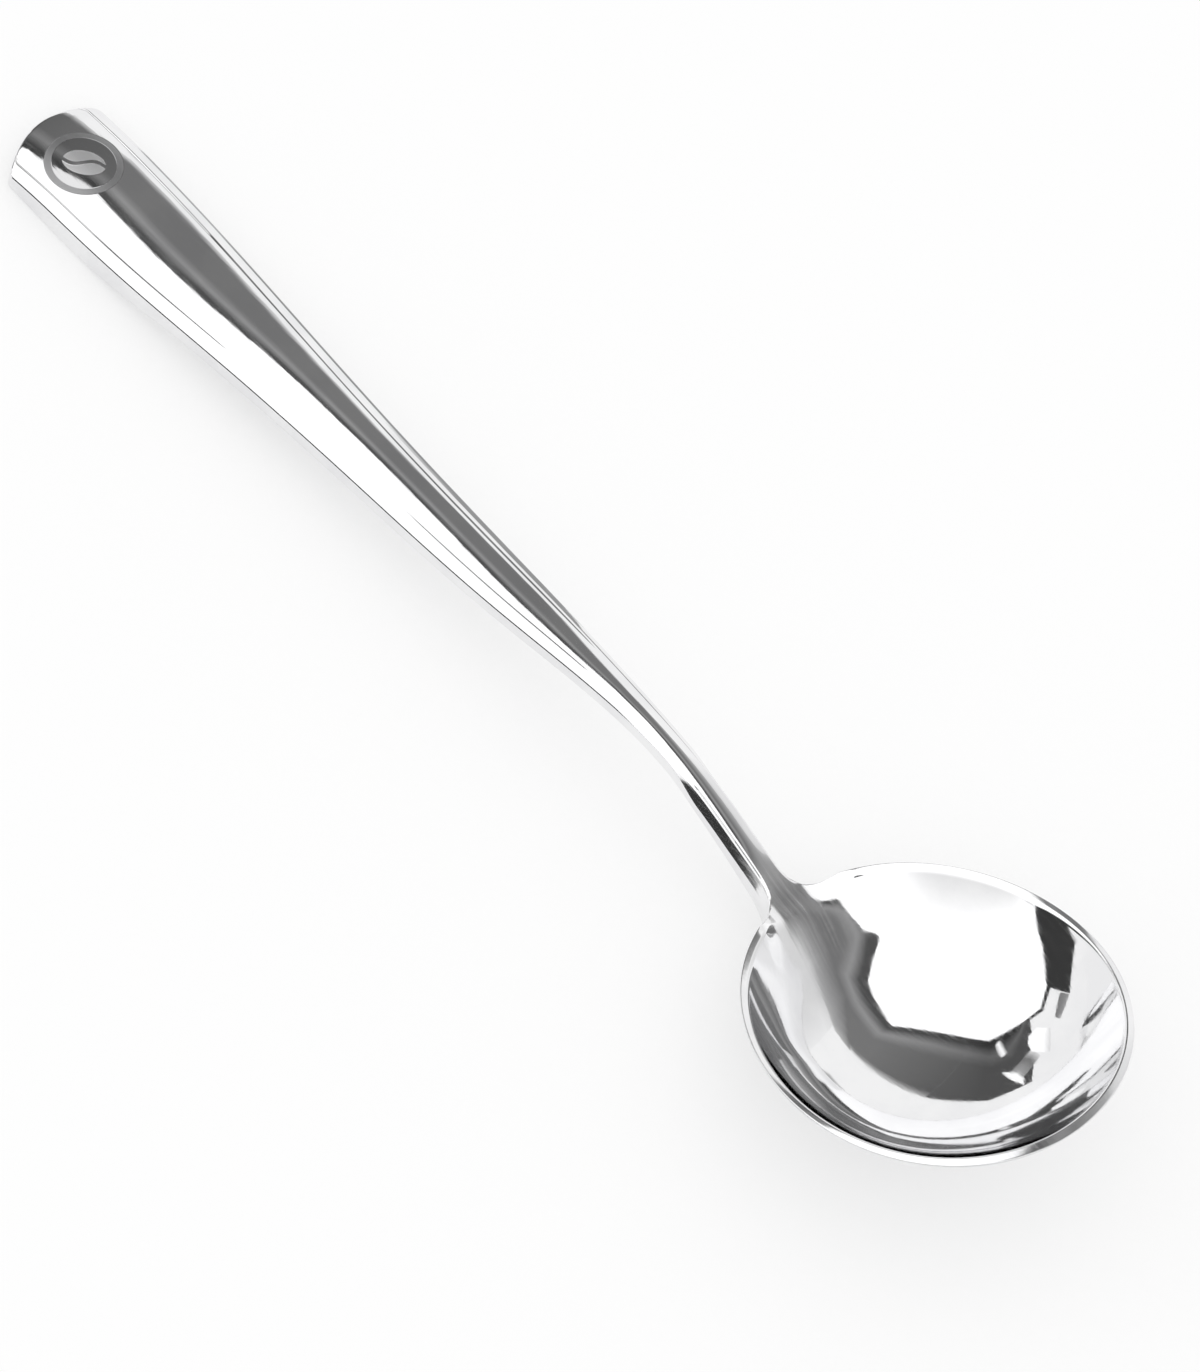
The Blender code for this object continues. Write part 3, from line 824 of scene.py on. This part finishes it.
class Nodes:
    """Short ways to add linked nodes to a material."""

    def __init__(self, name):
        self.material = bpy.data.materials.new(name)
        self.material.use_nodes = True
        self.tree = self.material.node_tree
        self.shader = self.tree.nodes["Principled BSDF"]
        self.surface = self.tree.nodes["Material Output"].inputs["Surface"]

    def add(self, kind, **links):
        """A node of this kind, with outputs linked to its sockets by name."""
        node = self.tree.nodes.new("ShaderNode" + kind)
        for socket, source in links.items():
            self.link(source, node.inputs[socket])
        return node

    def link(self, source, socket):
        self.tree.links.new(source, socket)

    def math(self, operation, first, second=0.0):
        """A maths node; the second value is a number or another output."""
        node = self.tree.nodes.new("ShaderNodeMath")
        node.operation = operation
        self.link(first, node.inputs[0])
        if isinstance(second, (int, float)):
            node.inputs[1].default_value = second
        else:
            self.link(second, node.inputs[1])
        return node.outputs["Value"]

    def ramp(self, value, start, end, low, high):
        """Eases from low to high while the value goes from start to end."""
        node = self.tree.nodes.new("ShaderNodeMapRange")
        node.interpolation_type = "SMOOTHSTEP"
        self.link(value, node.inputs["Value"])
        for socket, number in (("From Min", start), ("From Max", end), ("To Min", low), ("To Max", high)):
            node.inputs[socket].default_value = number
        return node.outputs["Result"]

    def curve(self, value, pairs):
        """Straight stretches through pairs of a value and the level there."""
        node = self.add("FloatCurve", Value=value)
        line = node.mapping.curves[0]
        line.points[0].location = pairs[0]
        line.points[1].location = pairs[-1]
        for place, level in pairs[1:-1]:
            line.points.new(place, level)
        for point in line.points:
            point.handle_type = "VECTOR"
        node.mapping.use_clip = False
        node.mapping.extend = "HORIZONTAL"
        node.mapping.update()
        return node.outputs["Value"]

    def noise(self, scale, detail):
        """Cloudy noise in the piece's own space, with its own scale along X, Y and Z."""
        place = self.add("TexCoord")
        stretch = self.add("Mapping", Vector=place.outputs["Object"])
        stretch.inputs["Scale"].default_value = scale
        noise = self.add("TexNoise", Vector=stretch.outputs["Vector"])
        noise.inputs["Scale"].default_value = 1.0
        noise.inputs["Detail"].default_value = detail
        return noise.outputs["Fac"]

    def blend(self, share, first, second):
        """Mixes two colours; each is given as numbers or as another output."""
        node = self.tree.nodes.new("ShaderNodeMix")
        node.data_type = "RGBA"
        self.link(share, node.inputs["Factor"])
        for name, colour in (("A", first), ("B", second)):
            socket = [i for i in node.inputs if i.name == name and i.type == "RGBA"][0]
            if isinstance(colour, tuple):
                socket.default_value = colour
            else:
                self.link(colour, socket)
        return [o for o in node.outputs if o.type == "RGBA"][0]

    def show_mix(self, share, first, second):
        """Shows the first shader where the share is 0, and the second where it is 1."""
        node = self.add("MixShader", Fac=share)
        self.link(first, node.inputs[1])
        self.link(second, node.inputs[2])
        self.link(node.outputs["Shader"], self.surface)


# Polished steel, with sizes in metres, as the nodes see the pieces
STEEL_LIGHT = (0.88, 0.88, 0.885, 1)
STEEL_DARK = (0.83, 0.83, 0.84, 1)
CLOUDS = (160, 160, 160)
CLOUD_DETAIL = 4.0
CLOUD_LOW = 0.35
CLOUD_HIGH = 0.65
GRAIN_ALONG = (70, 2400, 2400)
GRAIN_DETAIL = 3.0
GRAIN_LOW = 0.35
GRAIN_HIGH = 0.7
GLOSSY_ROUGHNESS = 0.03
SATIN_ROUGHNESS = 0.075
SCRATCH_HEIGHT = 2e-6


def steel(name):
    """Polished steel: cloudy tone, uneven gloss and fine scratches along the spoon."""
    nodes = Nodes(name)
    clouds = nodes.noise(CLOUDS, CLOUD_DETAIL)
    grain = nodes.noise(GRAIN_ALONG, GRAIN_DETAIL)
    colour = nodes.blend(nodes.ramp(clouds, CLOUD_LOW, CLOUD_HIGH, 0.0, 1.0), STEEL_DARK, STEEL_LIGHT)
    gloss = nodes.ramp(grain, GRAIN_LOW, GRAIN_HIGH, GLOSSY_ROUGHNESS, SATIN_ROUGHNESS)
    bump = nodes.add("Bump", Height=grain)
    bump.inputs["Strength"].default_value = 1.0
    bump.inputs["Distance"].default_value = SCRATCH_HEIGHT
    nodes.shader.inputs["Metallic"].default_value = 1.0
    nodes.link(colour, nodes.shader.inputs["Base Color"])
    nodes.link(gloss, nodes.shader.inputs["Roughness"])
    nodes.link(bump.outputs["Normal"], nodes.shader.inputs["Normal"])
    return nodes, colour, gloss, bump


def neck_steel(name):
    """The plain polish, with nothing added."""
    nodes, _, _, _ = steel(name)
    return nodes.material


# Throat of the bowl: coarser polishing streaks that run down from the neck
STREAKS = (35, 2600, 60)
STREAK_DETAIL = 4.0
STREAK_LOW = 0.3
STREAK_HIGH = 0.7
STREAK_GLOSSY = 0.05
STREAK_SATIN = 0.22
STREAK_HEIGHT = 9e-6
STREAK_START = -0.001
STREAK_FULL = -0.011
STREAK_LAST = -0.0165
STREAK_END = -0.0215
STREAK_CORE = 0.002
STREAK_SIDE = 0.006

# Worn edge of the rim, apart from the shoulders
RIM_LEVEL = (RIM_CENTRE_Z * math.cos(TILT) - RIM_CENTRE_X * math.sin(TILT)) * MM
RIM_WORN = 0.0004
RIM_ROUGHNESS = 0.1
RIM_START = -0.014
RIM_FULL = -0.009


def bowl_steel(name):
    """Polished steel with the throat's streaks and a rim that is slightly worn."""
    nodes, _, gloss, bump = steel(name)
    place = nodes.add("TexCoord")
    split = nodes.add("SeparateXYZ", Vector=place.outputs["Object"])
    along, across, height = split.outputs["X"], split.outputs["Y"], split.outputs["Z"]
    throat = nodes.ramp(along, STREAK_START, STREAK_FULL, 0.0, 1.0)
    middle = nodes.ramp(nodes.math("ABSOLUTE", across), STREAK_CORE, STREAK_SIDE, 1.0, 0.0)
    fading = nodes.ramp(along, STREAK_END, STREAK_LAST, 0.0, 1.0)
    share = nodes.math("MULTIPLY", nodes.math("MULTIPLY", throat, fading), middle)
    streaks = nodes.noise(STREAKS, STREAK_DETAIL)
    brushed = nodes.add("Bump", Height=streaks, Strength=share, Normal=bump.outputs["Normal"])
    brushed.inputs["Distance"].default_value = STREAK_HEIGHT
    satin = nodes.ramp(streaks, STREAK_LOW, STREAK_HIGH, STREAK_GLOSSY, STREAK_SATIN)
    upright = nodes.math("MULTIPLY", height, math.cos(TILT))
    leaning = nodes.math("MULTIPLY", along, math.sin(TILT))
    over_rim = nodes.math("SUBTRACT", nodes.math("SUBTRACT", upright, leaning), RIM_LEVEL)
    worn = nodes.ramp(over_rim, -RIM_WORN, 0.0, 0.0, RIM_ROUGHNESS)
    worn = nodes.math("MULTIPLY", worn, nodes.ramp(along, RIM_START, RIM_FULL, 0.0, 1.0))
    rougher = nodes.math("ADD", nodes.math("MULTIPLY", share, satin), worn)
    nodes.link(nodes.math("ADD", gloss, rougher), nodes.shader.inputs["Roughness"])
    nodes.link(brushed.outputs["Normal"], nodes.shader.inputs["Normal"])
    return nodes.material


# Etched mark near the end of the handle: a plain ring round a coffee bean
MARK_X = -0.1345
MARK_RADIUS = 0.0046
MARK_RING = 0.0008
MARK_EDGE = 0.00012
MARK_DEPTH = 6e-6
MARK_ROUGHNESS = 0.26
BEAN_LENGTH = 0.0026
BEAN_WIDTH = 0.0018
BEAN_EDGE = 0.9
BEAN_TURN = math.radians(38)
BEAN_CLEFT = 0.0002
BEAN_WAVE = 0.00045
ETCHED = (0.40, 0.40, 0.405, 1)
GROUND = (0.62, 0.62, 0.625, 1)
BEAN_TONE = (0.80, 0.80, 0.805, 1)


def handle_steel(name):
    """Polished steel with the etched mark."""
    nodes, colour, gloss, bump = steel(name)
    place = nodes.add("TexCoord")
    centred = nodes.add("Mapping", Vector=place.outputs["Object"])
    centred.vector_type = "TEXTURE"
    centred.inputs["Location"].default_value = (MARK_X, 0, 0)
    centred.inputs["Rotation"].default_value = (0, 0, BEAN_TURN)
    split = nodes.add("SeparateXYZ", Vector=centred.outputs["Vector"])
    along = split.outputs["X"]
    across = split.outputs["Y"]
    square = nodes.math("ADD", nodes.math("MULTIPLY", along, along), nodes.math("MULTIPLY", across, across))
    radius = nodes.math("SQRT", square)
    disc = nodes.ramp(radius, MARK_RADIUS - MARK_EDGE, MARK_RADIUS, 1.0, 0.0)
    inner = nodes.ramp(radius, MARK_RADIUS - MARK_RING - MARK_EDGE, MARK_RADIUS - MARK_RING, 1.0, 0.0)
    bean_along = nodes.math("POWER", nodes.math("DIVIDE", along, BEAN_LENGTH), 2.0)
    bean_across = nodes.math("POWER", nodes.math("DIVIDE", across, BEAN_WIDTH), 2.0)
    oval = nodes.ramp(nodes.math("ADD", bean_along, bean_across), BEAN_EDGE, 1.0, 1.0, 0.0)
    wave = nodes.math("SINE", nodes.math("MULTIPLY", along, math.pi / BEAN_LENGTH))
    cleft_line = nodes.math("SUBTRACT", across, nodes.math("MULTIPLY", wave, BEAN_WAVE))
    cleft_gap = nodes.math("ABSOLUTE", cleft_line)
    cleft = nodes.ramp(cleft_gap, BEAN_CLEFT, BEAN_CLEFT + MARK_EDGE, 0.0, 1.0)
    bean = nodes.math("MULTIPLY", oval, cleft)
    ring = nodes.math("SUBTRACT", disc, inner)
    toned = nodes.blend(inner, colour, GROUND)
    toned = nodes.blend(bean, toned, BEAN_TONE)
    toned = nodes.blend(ring, toned, ETCHED)
    nodes.link(toned, nodes.shader.inputs["Base Color"])
    etched = nodes.math("MAXIMUM", ring, bean)
    satin = nodes.math("MULTIPLY", etched, MARK_ROUGHNESS)
    nodes.link(nodes.math("ADD", gloss, satin), nodes.shader.inputs["Roughness"])
    sunk = nodes.add("Bump", Height=etched, Normal=bump.outputs["Normal"])
    sunk.invert = True
    sunk.inputs["Strength"].default_value = 1.0
    sunk.inputs["Distance"].default_value = MARK_DEPTH
    nodes.link(sunk.outputs["Normal"], nodes.shader.inputs["Normal"])
    return nodes.material


dressed = (
    (bowl, "bowl", bowl_steel("bowl_polish")),
    (neck, "neck", neck_steel("neck_polish")),
    (handle, "handle", handle_steel("handle_polish")),
)
for piece, node, material in dressed:
    piece.data.materials.append(material)
    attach(piece, "root")
    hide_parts(node)

# Camera at the photograph's angle
AZIMUTH = math.radians(-59.04)
ELEVATION = math.radians(55.69)
ROLL = math.radians(20.60)
CAMERA_PLACE = Vector((0.25491, -0.50183, 0.86564))
LENS = 281.905
SENSOR_WIDTH = 36
FARTHEST = 100
level = math.cos(ELEVATION)
back = Vector((level * math.cos(AZIMUTH), level * math.sin(AZIMUTH), math.sin(ELEVATION)))
level_right = Vector((-math.sin(AZIMUTH), math.cos(AZIMUTH), 0))
level_up = back.cross(level_right)
right = math.cos(ROLL) * level_right + math.sin(ROLL) * level_up
up = -math.sin(ROLL) * level_right + math.cos(ROLL) * level_up
camera_data = bpy.data.cameras.new("camera")
camera_data.lens = LENS
camera_data.sensor_width = SENSOR_WIDTH
camera_data.sensor_fit = "HORIZONTAL"
camera_data.clip_end = FARTHEST
camera = put("camera", camera_data)
camera.matrix_world = Matrix.Translation(CAMERA_PLACE) @ Matrix((right, up, back)).transposed().to_4x4()
bpy.context.scene.camera = camera

# Studio: a white table and room, with cards that only the steel shows in its reflections
CARD_DISTANCE = 3.0
CARD_STEPS = 12


def card_point(tilt, distance):
    """A point at a distance, tilted from straight up towards +X and towards +Y by these degrees."""
    polar = math.radians(math.hypot(tilt[0], tilt[1]))
    azimuth = math.atan2(tilt[1], tilt[0])
    sideways = math.sin(polar)
    return Vector((sideways * math.cos(azimuth), sideways * math.sin(azimuth), math.cos(polar))) * distance


def card_material(name, levels, along, reflection):
    """Glow of a card: pairs of a share and the level there, from the near to the far edge and along it."""
    nodes = Nodes(name)
    nodes.tree.nodes.remove(nodes.shader)
    place = nodes.add("UVMap")
    split = nodes.add("SeparateXYZ", Vector=place.outputs["UV"])
    across_level = nodes.curve(split.outputs["Y"], levels)
    along_level = nodes.curve(split.outputs["X"], along)
    glow = nodes.add("Emission", Strength=nodes.math("MULTIPLY", across_level, along_level))
    if reflection > 1:
        path = nodes.add("LightPath")
        late = nodes.math("GREATER_THAN", path.outputs["Glossy Depth"], reflection - 0.5)
        clear = nodes.add("BsdfTransparent")
        nodes.show_mix(late, clear.outputs["BSDF"], glow.outputs["Emission"])
    else:
        nodes.link(glow.outputs["Emission"], nodes.surface)
    nodes.material.cycles.emission_sampling = "NONE"
    return nodes.material


def even(level):
    """The same level from edge to edge."""
    return [(0, level), (1, level)]


def card(name, near_edge, far_edge, levels, distance=CARD_DISTANCE, along=even(1), reflection=1):
    """A bent card between two edges, each given by its corners in degrees from straight up.

    It shows from this reflection on: a card of the second one shows only where steel mirrors steel.
    """
    points = []
    spots = []
    stations = []
    for i in range(len(near_edge) - 1):
        for step in range(CARD_STEPS):
            stations.append((i, step / CARD_STEPS))
    stations.append((len(near_edge) - 2, 1.0))
    for i, share in stations:
        near = Vector(near_edge[i]).lerp(Vector(near_edge[i + 1]), share)
        far = Vector(far_edge[i]).lerp(Vector(far_edge[i + 1]), share)
        for across in range(CARD_STEPS + 1):
            points.append(card_point(near.lerp(far, across / CARD_STEPS), distance))
            spots.append(((i + share) / (len(near_edge) - 1), across / CARD_STEPS))
    faces = []
    row = CARD_STEPS + 1
    for i in range(len(stations) - 1):
        for k in range(CARD_STEPS):
            faces.append((i * row + k, i * row + k + 1, (i + 1) * row + k + 1, (i + 1) * row + k))
    mesh = bpy.data.meshes.new(name)
    mesh.from_pydata(points, [], faces)
    layer = mesh.uv_layers.new(name="across")
    for loop in mesh.loops:
        layer.data[loop.index].uv = spots[loop.vertex_index]
    mesh.materials.append(card_material(name, levels, along, reflection))
    item = put(name, mesh)
    item.visible_camera = False
    item.visible_diffuse = False
    item.visible_transmission = False
    item.visible_volume_scatter = False
    item.visible_shadow = False


# How bright the cards are
SOFTBOX_LEVEL = 1.3
SOFTBOX_EDGE_LEVEL = 0.72
LAMP_LEVEL = 1.2
ROOM_LEVEL = 0.8
ROOM_NEAR_LEVEL = 0.68
ROOM_FAR_LEVEL = 0.98
FADED_LEVEL = 0.5
PALE_LEVEL = 0.4
SHEEN_LEVEL = 0.34
GREY_LEVEL = 0.2
DARK_LEVEL = 0.09
BLACK_LEVEL = 0.045
DARK_FADE = [(0, DARK_LEVEL), (0.1, DARK_LEVEL), (0.26, SHEEN_LEVEL), (0.42, GREY_LEVEL)]

# A nearer card hides what is behind it
ROOM_DISTANCE = CARD_DISTANCE + 0.2
GREY_DISTANCE = CARD_DISTANCE + 0.1
FADE_DISTANCE = CARD_DISTANCE + 0.05
FRONT_DISTANCE = CARD_DISTANCE - 0.1
LAMP_DISTANCE = CARD_DISTANCE - 0.12
SECOND_DISTANCE = CARD_DISTANCE - 0.15
THIRD_DISTANCE = CARD_DISTANCE - 0.2

# Corners that neighbouring cards share, in degrees from straight up
THROAT_CORNER = (43.5, -11.5)
BACK_CORNER = (10, 13)
PEAK_CORNER = (-27, 26)
TURN_CORNER = (-50, 8.5)
LAMP_CORNER = (-52, 3)
SIDE_CORNER = (-57, -14)
FRONT_CORNER = (-60, -28)
LOW_CORNER = (-54.5, -44.5)
LOWER_CORNER = (-35.7, -67.5)
FOOT_CORNER = (-13, -84)
GREY_CORNER = (-46, 11.7)
GREY_FAR_CORNER = (-50, 42)
DARK_FAR_CORNER = (-59, -17)
LAMP_LINE = [(-66.5, 17.5), (-70, 15.5), (-74, 18)]

softbox_near = [THROAT_CORNER, (42, -10.4), (40.5, -9.3), (39, -8.2), (37.5, -7.1), BACK_CORNER]
softbox_near += [PEAK_CORNER, TURN_CORNER, LAMP_CORNER, SIDE_CORNER, FRONT_CORNER, LOW_CORNER]
softbox_near += [LOWER_CORNER, FOOT_CORNER]
softbox_far = [(80, 24), (84, 0), (82, -20), (78, -34), (74, -42), (68, -52), (60, -62)]
softbox_far += [(53, -69), (46, -76), (34, -81), (22, -86), (14, -87.5), (8, -89), (0, -90)]
card(
    "softbox",
    softbox_near,
    softbox_far,
    [(0, SOFTBOX_LEVEL), (0.7, SOFTBOX_LEVEL), (1, SOFTBOX_EDGE_LEVEL)],
)
card(
    "grey_card",
    [THROAT_CORNER, BACK_CORNER, PEAK_CORNER, GREY_CORNER],
    [(80, 24.5), (72, 46), (-27, 45), GREY_FAR_CORNER],
    DARK_FADE + [(0.9, GREY_LEVEL), (1, ROOM_LEVEL)],
    GREY_DISTANCE,
    [(0, 1), (0.72, 1), (1, 0.6)],
)
card(
    "grey_fade",
    [(56, 26), (32, 29), (8, 30), (-10, 36), (-24, 44.4)],
    [(60, 46), (38, 47), (14, 46.5), (-10, 46), (-25, 45.3)],
    [(0, GREY_LEVEL), (0.75, PALE_LEVEL), (1, FADED_LEVEL)],
    FADE_DISTANCE,
)
card(
    "dark_card",
    [GREY_CORNER, TURN_CORNER, LAMP_CORNER, (-55, -7), SIDE_CORNER],
    [GREY_FAR_CORNER, (-68, 35), (-79.5, 20), (-70, 0), DARK_FAR_CORNER],
    DARK_FADE + [(1, GREY_LEVEL)],
    along=[(0, 0.6), (0.2, 0.45), (1, 0.45)],
)
card(
    "dark_edge",
    [SIDE_CORNER, FRONT_CORNER, LOW_CORNER],
    [DARK_FAR_CORNER, (-62, -27), (-57, -44.5)],
    even(BLACK_LEVEL),
)
card(
    "black_card",
    [LOW_CORNER, (-44.8, -58), LOWER_CORNER, (-23.6, -75.5), FOOT_CORNER],
    [(-69, -43.5), (-60, -60), (-51, -74), (-33, -84.5), (-14, -91)],
    even(BLACK_LEVEL),
)
card(
    "grey_strip",
    [(-70, -25), (-67, -33), (-63.5, -43)],
    [(-73, -25), (-71.5, -34), (-69, -43)],
    [(0, GREY_LEVEL), (1, SHEEN_LEVEL)],
)
card(
    "low_band_front",
    [FOOT_CORNER, (14, -83), (44, -68), (66, -47), (78, -24)],
    [(-14, -94), (16, -93), (51, -76), (74, -54), (88, -27)],
    even(BLACK_LEVEL),
    FRONT_DISTANCE,
)
card(
    "low_band_back",
    [(-12, 78), (-20, 72), (-26, 67.5), (-35, 67.5), (-37, 78), (-47, 76)],
    [(-13, 92), (-21, 96), (-30, 98), (-38, 96), (-40, 94), (-48, 90)],
    [(0, ROOM_LEVEL), (0.1, SHEEN_LEVEL), (1, SHEEN_LEVEL)],
    FRONT_DISTANCE,
    [(0, 2), (0.2, 1.5), (0.4, 1), (0.6, 1), (0.8, 1.2), (1, 1.8)],
)
card(
    "room_card",
    [(79, 24), (72, 45), (26, 44.5), (-8, 44)],
    [(89, 26), (76, 50), (28, 88), (-9, 92)],
    [(0, ROOM_NEAR_LEVEL), (0.2, ROOM_LEVEL), (0.62, ROOM_LEVEL), (1, ROOM_FAR_LEVEL)],
    ROOM_DISTANCE,
    [(0, 0.95), (0.7, 0.95), (1, 1.2)],
)
card(
    "lamp_upper",
    [(-63, 19.5), (-70, 21.5), (-77, 22.5)],
    LAMP_LINE,
    [(0, LAMP_LEVEL), (0.6, LAMP_LEVEL), (1, PALE_LEVEL)],
    FRONT_DISTANCE,
)
card(
    "lamp_upper_glow",
    LAMP_LINE,
    [(-68.5, 2), (-71, 1), (-75, 3)],
    [(0, PALE_LEVEL), (0.6, GREY_LEVEL), (1, ROOM_LEVEL)],
    FRONT_DISTANCE,
)
card(
    "lamp_lower",
    [(-53, 8.5), (-56, 11.5), (-58.5, 13)],
    [(-53.5, 4.5), (-57, 7), (-59.5, 9)],
    [(0, ROOM_LEVEL), (0.6, LAMP_LEVEL), (1, GREY_LEVEL)],
    FRONT_DISTANCE,
)
card(
    "lamp_middle",
    [(-64.5, -14), (-63.5, -6), (-65.5, -1.5), (-69.5, 2.2)],
    [(-71, -17), (-74, -11.5), (-76.5, -6), (-78.5, -1)],
    [(0, LAMP_LEVEL), (0.7, LAMP_LEVEL), (1, ROOM_LEVEL)],
    LAMP_DISTANCE,
)

# Where the bowl mirrors its own far wall the studio looks different: these cards show only there
card(
    "softbox_again",
    [(8, 20), (20, 18), (26, 17), (33, 15.5), (38, 12), (42.5, 20), (44, 38)],
    [(8, -14), (20, -16), (28, -17), (36, -17), (46, -14), (56, 5), (56, 38)],
    [(0, 1.15), (0.28, 1.2), (0.45, 1.04), (1, 0.92)],
    SECOND_DISTANCE,
    reflection=2,
)
card(
    "grey_again",
    [(41, 40), (25, 40), (8, 40)],
    [(45, 62), (25, 66), (4, 66)],
    even(GREY_LEVEL),
    SECOND_DISTANCE,
    reflection=2,
)
card(
    "dark_line_again",
    [(-42, -36), (-45, -29), (-48, -22), (-52, -11), (-56, 0)],
    [(-46, -37), (-53, -26), (-54, -19), (-61, -8), (-67, -1)],
    [(0, GREY_LEVEL), (0.3, DARK_LEVEL), (1, DARK_LEVEL)],
    SECOND_DISTANCE,
    reflection=2,
)
card(
    "dark_third",
    [(-40, -29), (-40, -20), (-40, -12), (-44, 0), (-48, 6)],
    [(-54, -27), (-58, -19), (-64, -10), (-66, -2), (-66, 6)],
    [(0, GREY_LEVEL), (0.2, DARK_LEVEL), (1, DARK_LEVEL)],
    THIRD_DISTANCE,
    reflection=3,
)

# White table
FLOOR_HALF = 40
FLOOR_TONE = (0.985, 0.985, 0.985, 1)
FLOOR_ROUGHNESS = 0.9
FLOOR_GLOW = 0.42


def floor_white(name):
    """Matt white that glows a little for the camera and in reflections, which lightens its shadows."""
    nodes = Nodes(name)
    nodes.shader.inputs["Base Color"].default_value = FLOOR_TONE
    nodes.shader.inputs["Roughness"].default_value = FLOOR_ROUGHNESS
    nodes.shader.inputs["Specular IOR Level"].default_value = 0.0
    path = nodes.add("LightPath")
    seen = nodes.math("MAXIMUM", path.outputs["Is Camera Ray"], path.outputs["Is Glossy Ray"])
    share = nodes.math("MULTIPLY", seen, FLOOR_GLOW)
    glow = nodes.add("Emission")
    nodes.show_mix(share, nodes.shader.outputs["BSDF"], glow.outputs["Emission"])
    nodes.material.cycles.emission_sampling = "NONE"
    return nodes.material


corners = [(FLOOR_HALF * x, FLOOR_HALF * y, 0) for x, y in ((-1, -1), (1, -1), (1, 1), (-1, 1))]
floor_mesh = bpy.data.meshes.new("floor")
floor_mesh.from_pydata(corners, [], [(0, 1, 2, 3)])
floor_mesh.materials.append(floor_white("floor_white"))
floor = put("floor", floor_mesh)

# White room
studio = bpy.data.worlds.new("studio")
bpy.context.scene.world = studio
studio.use_nodes = True
background = studio.node_tree.nodes["Background"]
background.inputs["Color"].default_value = (1, 1, 1, 1)
background.inputs["Strength"].default_value = 1.0

bpy.context.scene.view_settings.view_transform = "Standard"
